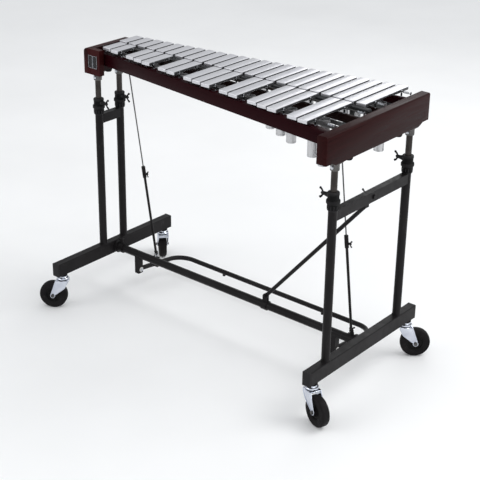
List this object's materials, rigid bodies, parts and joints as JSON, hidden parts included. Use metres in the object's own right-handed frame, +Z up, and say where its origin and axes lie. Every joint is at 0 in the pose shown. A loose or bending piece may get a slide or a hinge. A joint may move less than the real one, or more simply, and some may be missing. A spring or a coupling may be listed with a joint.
{
  "type": "pedal-damped mallet bar instrument on rolling stand",
  "caption": "Metal-bar mallet keyboard with tube resonators, foot-operated damper and a height-adjustable tube stand on swivel casters.",
  "frame": {"origin": "middle of the footprint, on the floor under the wheels", "axes": "+X towards the bass end, +Y towards the player, +Z up"},
  "size_m": [1.2596, 0.6386, 0.9266],
  "materials": {
    "black_coat": "satin powder coat",
    "black_plastic": "moulded, satin",
    "zinc_steel": "bright zinc plate",
    "grey_steel": "dark nickel plate",
    "chrome": "polished plate",
    "stained_wood": "dark red-brown satin lacquer",
    "dark_wood": "dark stain",
    "bar_metal": "fine satin anodised",
    "resonator_metal": "satin anodised",
    "cord": "braided black",
    "black_rubber": "matt",
    "tyre": "matt black rubber",
    "hub_plastic": "moulded",
    "felt": "dark grey wool felt"
  },
  "bodies": {
    "stand": {"foot_beam_treble": "black_coat", "foot_beam_bass": "black_coat", "beam_end_caps": "black_plastic", "uprights": "black_coat", "crossbars": "black_coat", "height_collars": "black_plastic", "cross_tube": "black_coat", "cross_tube_flanges": "black_coat", "diagonal_brace": "black_coat", "brace_clamp": "black_coat", "stand_bolts": "zinc_steel", "pedal_brackets": "black_coat", "caster_stems": "chrome"},
    "keyboard": {"bass_end_panel": "stained_wood", "treble_end_panel": "stained_wood", "audience_rail": "stained_wood", "player_rail": "stained_wood", "inner_rails": "dark_wood", "natural_bars": "bar_metal", "accidental_bars": "bar_metal", "bar_cords": "cord", "cord_posts": "zinc_steel", "natural_resonators": "resonator_metal", "accidental_resonators": "resonator_metal", "resonator_rails": "resonator_metal", "leg_tubes": "grey_steel", "leg_sockets": "grey_steel", "rubber_feet": "black_rubber"},
    "damper": {"damper_bar": "resonator_metal", "damper_felt": "felt"},
    "pedal": {"pedal_tube": "black_coat", "pedal_bumpers": "black_rubber", "pedal_rod_brackets": "black_coat"},
    "shackle_treble": {"rod_shackle_treble": "zinc_steel"},
    "lower_rod_treble": {"lower_rod_treble": "black_coat"},
    "upper_rod_treble": {"upper_rod_treble": "zinc_steel"},
    "thumbscrew_treble": {"rod_thumbscrew_treble": "black_coat"},
    "shackle_bass": {"rod_shackle_bass": "zinc_steel"},
    "lower_rod_bass": {"lower_rod_bass": "black_coat"},
    "upper_rod_bass": {"upper_rod_bass": "zinc_steel"},
    "thumbscrew_bass": {"rod_thumbscrew_bass": "black_coat"},
    "wing_screw_treble_front": {"wing_screw_treble_front": "black_coat"},
    "wing_screw_treble_back": {"wing_screw_treble_back": "black_coat"},
    "tee_bolt_treble": {"tee_bolt_treble": "black_coat"},
    "wing_screw_bass_front": {"wing_screw_bass_front": "black_coat"},
    "wing_screw_bass_back": {"wing_screw_bass_back": "black_coat"},
    "tee_bolt_bass": {"tee_bolt_bass": "black_coat"},
    "brace_nut": {"brace_wing_nut": "black_coat"},
    "caster_treble_front": {"caster_fork_treble_front": "chrome"},
    "wheel_treble_front": {"caster_tyre_treble_front": "tyre", "caster_hub_treble_front": "hub_plastic"},
    "caster_bass_front": {"caster_fork_bass_front": "chrome"},
    "wheel_bass_front": {"caster_tyre_bass_front": "tyre", "caster_hub_bass_front": "hub_plastic"},
    "caster_bass_back": {"caster_fork_bass_back": "chrome"},
    "wheel_bass_back": {"caster_tyre_bass_back": "tyre", "caster_hub_bass_back": "hub_plastic"},
    "caster_treble_back": {"caster_fork_treble_back": "chrome"},
    "wheel_treble_back": {"caster_tyre_treble_back": "tyre", "caster_hub_treble_back": "hub_plastic"}
  },
  "joints": [
    {"name": "height_slide", "type": "slide", "parent": "stand", "child": "keyboard", "axis": [0, 0, 1], "range_m": [-0.06, 0.06]},
    {"name": "pedal_hinge", "type": "hinge", "parent": "stand", "child": "pedal", "pos_m": [-0.00318, -0.00453, 0.096], "axis": [-1, 0, 0], "range_deg": [0, 6], "stiffness_Nm_per_rad": 12, "springref_deg": -34.38},
    {"name": "damper_slide", "type": "slide", "parent": "keyboard", "child": "damper", "axis": [0, 0, 1], "range_m": [-0.0096, 0]},
    {"name": "shackle_treble_turn", "type": "hinge", "parent": "pedal", "child": "shackle_treble", "pos_m": [-0.42818, 0.08546, 0.108], "axis": [-1, 0, 0], "range_deg": [-6.2, 0.2]},
    {"name": "rod_treble_tilt", "type": "hinge", "parent": "shackle_treble", "child": "lower_rod_treble", "pos_m": [-0.42818, 0.08546, 0.122], "axis": [-1, 0, 0], "range_deg": [-0.8, 0.8]},
    {"name": "rod_treble_slide", "type": "slide", "parent": "lower_rod_treble", "child": "upper_rod_treble", "axis": [0, -0.1614, 0.9869], "range_m": [-0.06, 0.06]},
    {"name": "thumbscrew_treble_turn", "type": "hinge", "parent": "lower_rod_treble", "child": "thumbscrew_treble", "pos_m": [-0.41818, 0.03027, 0.4595], "axis": [1, 0, 0], "continuous": true},
    {"name": "shackle_bass_turn", "type": "hinge", "parent": "pedal", "child": "shackle_bass", "pos_m": [0.44582, 0.08546, 0.108], "axis": [-1, 0, 0], "range_deg": [-6.2, 0.2]},
    {"name": "rod_bass_tilt", "type": "hinge", "parent": "shackle_bass", "child": "lower_rod_bass", "pos_m": [0.44582, 0.08546, 0.122], "axis": [-1, 0, 0], "range_deg": [-0.8, 0.8]},
    {"name": "rod_bass_slide", "type": "slide", "parent": "lower_rod_bass", "child": "upper_rod_bass", "axis": [0, -0.1614, 0.9869], "range_m": [-0.06, 0.06]},
    {"name": "thumbscrew_bass_turn", "type": "hinge", "parent": "lower_rod_bass", "child": "thumbscrew_bass", "pos_m": [0.45582, 0.03027, 0.4595], "axis": [1, 0, 0], "continuous": true},
    {"name": "wing_screw_treble_front_turn", "type": "hinge", "parent": "stand", "child": "wing_screw_treble_front", "pos_m": [-0.52318, -0.05953, 0.719], "axis": [1, 0, 0], "continuous": true},
    {"name": "wing_screw_treble_back_turn", "type": "hinge", "parent": "stand", "child": "wing_screw_treble_back", "pos_m": [-0.52318, 0.04247, 0.719], "axis": [1, 0, 0], "continuous": true},
    {"name": "tee_bolt_treble_turn", "type": "hinge", "parent": "stand", "child": "tee_bolt_treble", "pos_m": [-0.51418, -0.00453, 0.19], "axis": [0, 0, 1], "continuous": true},
    {"name": "wing_screw_bass_front_turn", "type": "hinge", "parent": "stand", "child": "wing_screw_bass_front", "pos_m": [0.51682, -0.19953, 0.719], "axis": [-1, 0, 0], "continuous": true},
    {"name": "wing_screw_bass_back_turn", "type": "hinge", "parent": "stand", "child": "wing_screw_bass_back", "pos_m": [0.51682, 0.19046, 0.719], "axis": [-1, 0, 0], "continuous": true},
    {"name": "tee_bolt_bass_turn", "type": "hinge", "parent": "stand", "child": "tee_bolt_bass", "pos_m": [0.50782, -0.00453, 0.19], "axis": [0, 0, 1], "continuous": true},
    {"name": "brace_nut_turn", "type": "hinge", "parent": "stand", "child": "brace_nut", "pos_m": [0.52382, -0.00453, 0.658], "axis": [-1, 0, 0], "continuous": true},
    {"name": "caster_treble_front_swivel", "type": "hinge", "parent": "stand", "child": "caster_treble_front", "pos_m": [-0.55318, -0.26354, 0.107], "axis": [0, 0, 1], "continuous": true},
    {"name": "wheel_treble_front_roll", "type": "hinge", "parent": "caster_treble_front", "child": "wheel_treble_front", "pos_m": [-0.58253, -0.2826, 0.05], "axis": [0.5446, -0.8387, 0], "continuous": true},
    {"name": "caster_bass_front_swivel", "type": "hinge", "parent": "stand", "child": "caster_bass_front", "pos_m": [0.54682, -0.26354, 0.107], "axis": [0, 0, 1], "continuous": true},
    {"name": "wheel_bass_front_roll", "type": "hinge", "parent": "caster_bass_front", "child": "wheel_bass_front", "pos_m": [0.57971, -0.27551, 0.05], "axis": [0.342, 0.9397, 0], "continuous": true},
    {"name": "caster_bass_back_swivel", "type": "hinge", "parent": "stand", "child": "caster_bass_back", "pos_m": [0.54682, 0.25446, 0.107], "axis": [0, 0, 1], "continuous": true},
    {"name": "wheel_bass_back_roll", "type": "hinge", "parent": "caster_bass_back", "child": "wheel_bass_back", "pos_m": [0.57324, 0.27743, 0.05], "axis": [-0.6561, 0.7547, 0], "continuous": true},
    {"name": "caster_treble_back_swivel", "type": "hinge", "parent": "stand", "child": "caster_treble_back", "pos_m": [-0.55318, 0.25446, 0.107], "axis": [0, 0, 1], "continuous": true},
    {"name": "wheel_treble_back_roll", "type": "hinge", "parent": "caster_treble_back", "child": "wheel_treble_back", "pos_m": [-0.57919, 0.27788, 0.05], "axis": [-0.6691, -0.7431, 0], "continuous": true}
  ],
  "couplings": [
    {"joint": "damper_slide", "follows": "pedal_hinge", "m_per_rad": -0.09},
    {"joint": "shackle_treble_turn", "follows": "pedal_hinge", "ratio": -1},
    {"joint": "rod_treble_tilt", "follows": "height_slide", "rad_per_m": 0.2145},
    {"joint": "rod_treble_slide", "follows": "height_slide", "ratio": 0.987},
    {"joint": "shackle_bass_turn", "follows": "pedal_hinge", "ratio": -1},
    {"joint": "rod_bass_tilt", "follows": "height_slide", "rad_per_m": 0.2145},
    {"joint": "rod_bass_slide", "follows": "height_slide", "ratio": 0.987}
  ]
}
